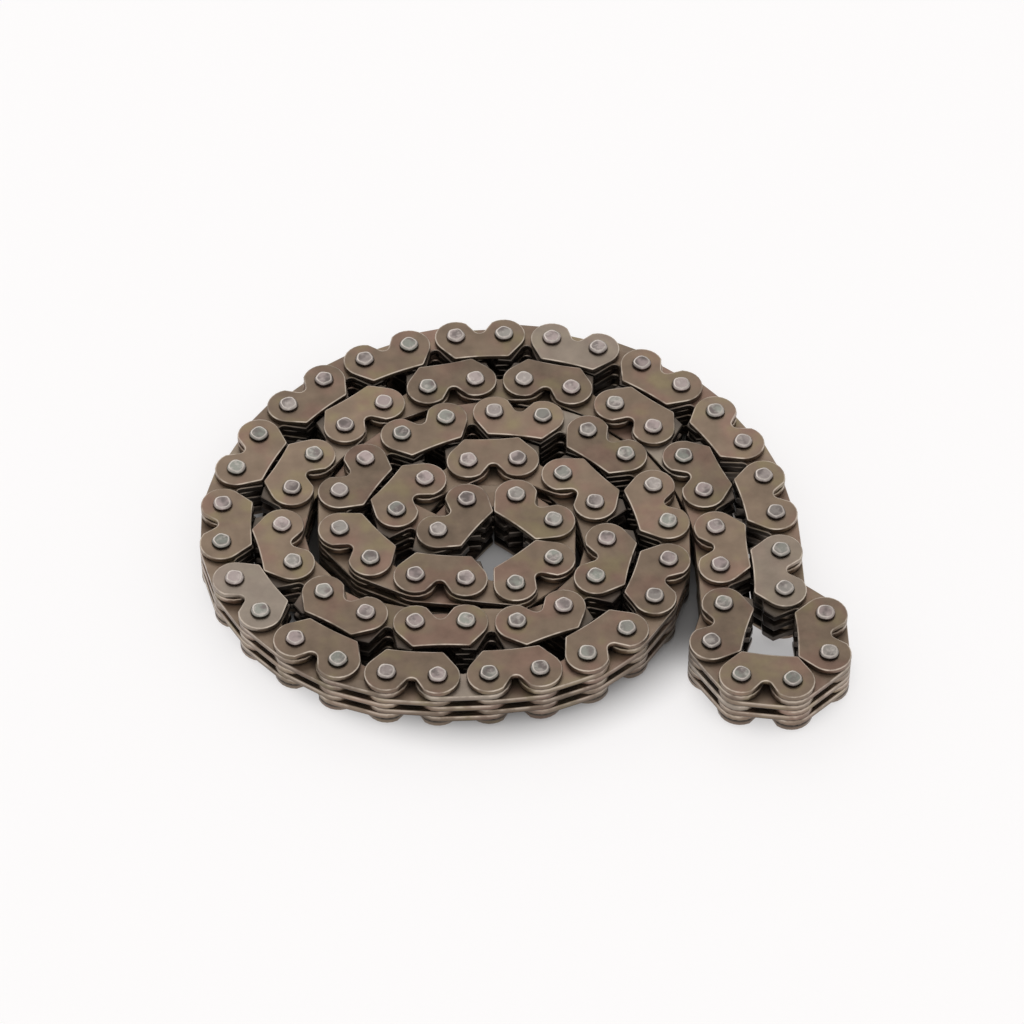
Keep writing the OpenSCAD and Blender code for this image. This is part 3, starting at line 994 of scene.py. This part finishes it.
class CHAIN_OT_middle_plates(ChainPiece, bpy.types.Operator):
    """Make the toothed plates of the outer links, which hold their pins fast"""

    bl_idname = "chain.middle_plates"
    bl_label = "Middle Plates"

    def execute(self, context):
        sizes, edges, finish = self.settings(context)
        steel = plate_steel("Middle plate steel", finish, finish.middle_wear_and_light, finish.mottle)

        def shape_of(solid, _):
            stand = stand_of(solid, sizes, sizes.pin_r)
            return stand, toothed_shape(sizes, edges, stand[3], sizes.fast_gap)

        dress("middle_plates", steel, shape_of, CRISP)
        return {"FINISHED"}


class CHAIN_OT_inner_plates(ChainPiece, bpy.types.Operator):
    """Make the toothed plates of the inner links, which turn on the pins"""

    bl_idname = "chain.inner_plates"
    bl_label = "Inner Plates"

    def execute(self, context):
        sizes, edges, finish = self.settings(context)
        steel = plate_steel("Inner plate steel", finish, finish.inner_wear_and_light, finish.mottle)

        def shape_of(solid, _):
            stand = stand_of(solid, sizes, sizes.pin_r + sizes.turning_gap)
            return stand, toothed_shape(sizes, edges, stand[3], sizes.turning_gap)

        dress("inner_plates", steel, shape_of, CRISP)
        return {"FINISHED"}


class CHAIN_OT_pins(ChainPiece, bpy.types.Operator):
    """Make the pins with their riveted ends"""

    bl_idname = "chain.pins"
    bl_label = "Pins"

    def execute(self, context):
        sizes, edges, finish = self.settings(context)

        def shape_of(solid, draw):
            low, high = solid.min(axis=0), solid.max(axis=0)
            middle, tall = (low + high) / 2, high[2] - low[2]
            return (middle[0], middle[1], low[2], tall, 0.0), pin_shape(sizes, edges, tall, draw)

        dress("_pins", pin_steel(finish), shape_of, CRISP)
        return {"FINISHED"}


class CHAIN_OT_stage(bpy.types.Operator):
    """Make the floor, the soft light and the camera"""

    bl_idname = "chain.stage"
    bl_label = "Stage"

    def execute(self, context):
        stage = context.scene.chain_stage
        context.scene.view_settings.view_transform = "Standard"
        square = ((-1.0, -1.0, 0.0), (1.0, -1.0, 0.0), (1.0, 1.0, 0.0), (-1.0, 1.0, 0.0))
        mesh = bpy.data.meshes.new("floor")
        mesh.from_pydata((FLOOR_HALF * np.array(square)).tolist(), [], [(0, 1, 2, 3)])
        floor = bpy.data.objects.new("floor", mesh)
        context.scene.collection.objects.link(floor)
        mesh.materials.append(floor_material(stage))
        set_world(stage)
        add_camera(stage)
        for name, setting, at, side in LAMPS:
            add_light(name, getattr(stage, setting), at, side)
        return {"FINISHED"}


class CHAIN_PT_panel(bpy.types.Panel):
    """Lists the pieces of the chain and its settings"""

    bl_idname = "CHAIN_PT_panel"
    bl_label = "Timing Chain"
    bl_space_type = "VIEW_3D"
    bl_region_type = "UI"
    bl_category = "Chain"

    def draw(self, context):
        for operator in PIECES:
            self.layout.operator(operator.bl_idname)
        for name, group in GROUPS.items():
            box = self.layout.box()
            box.label(text=group.__doc__)
            for label in group.__annotations__:
                box.prop(getattr(context.scene, name), label)


GROUPS = {
    "chain_plates": ChainPlateSizes,
    "chain_edges": ChainEdgeSizes,
    "chain_finish": ChainFinish,
    "chain_stage": ChainStage,
}
PIECES = (
    CHAIN_OT_guide_plates,
    CHAIN_OT_middle_plates,
    CHAIN_OT_inner_plates,
    CHAIN_OT_pins,
    CHAIN_OT_stage,
)


def register():
    """Registers the settings, the operators and the panel."""
    for name, group in GROUPS.items():
        bpy.utils.register_class(group)
        setattr(bpy.types.Scene, name, bpy.props.PointerProperty(type=group))
    for made in (*PIECES, CHAIN_PT_panel):
        bpy.utils.register_class(made)


def unregister():
    """Takes them out again, in the other order."""
    for made in (CHAIN_PT_panel, *reversed(PIECES)):
        bpy.utils.unregister_class(made)
    for name, group in reversed(GROUPS.items()):
        delattr(bpy.types.Scene, name)
        bpy.utils.unregister_class(group)


def main():
    """Makes every piece and the stage."""
    register()
    for call in (bpy.ops.chain.guide_plates, bpy.ops.chain.middle_plates, bpy.ops.chain.inner_plates,
                 bpy.ops.chain.pins, bpy.ops.chain.stage):
        call()


if __name__ == "__main__":
    main()
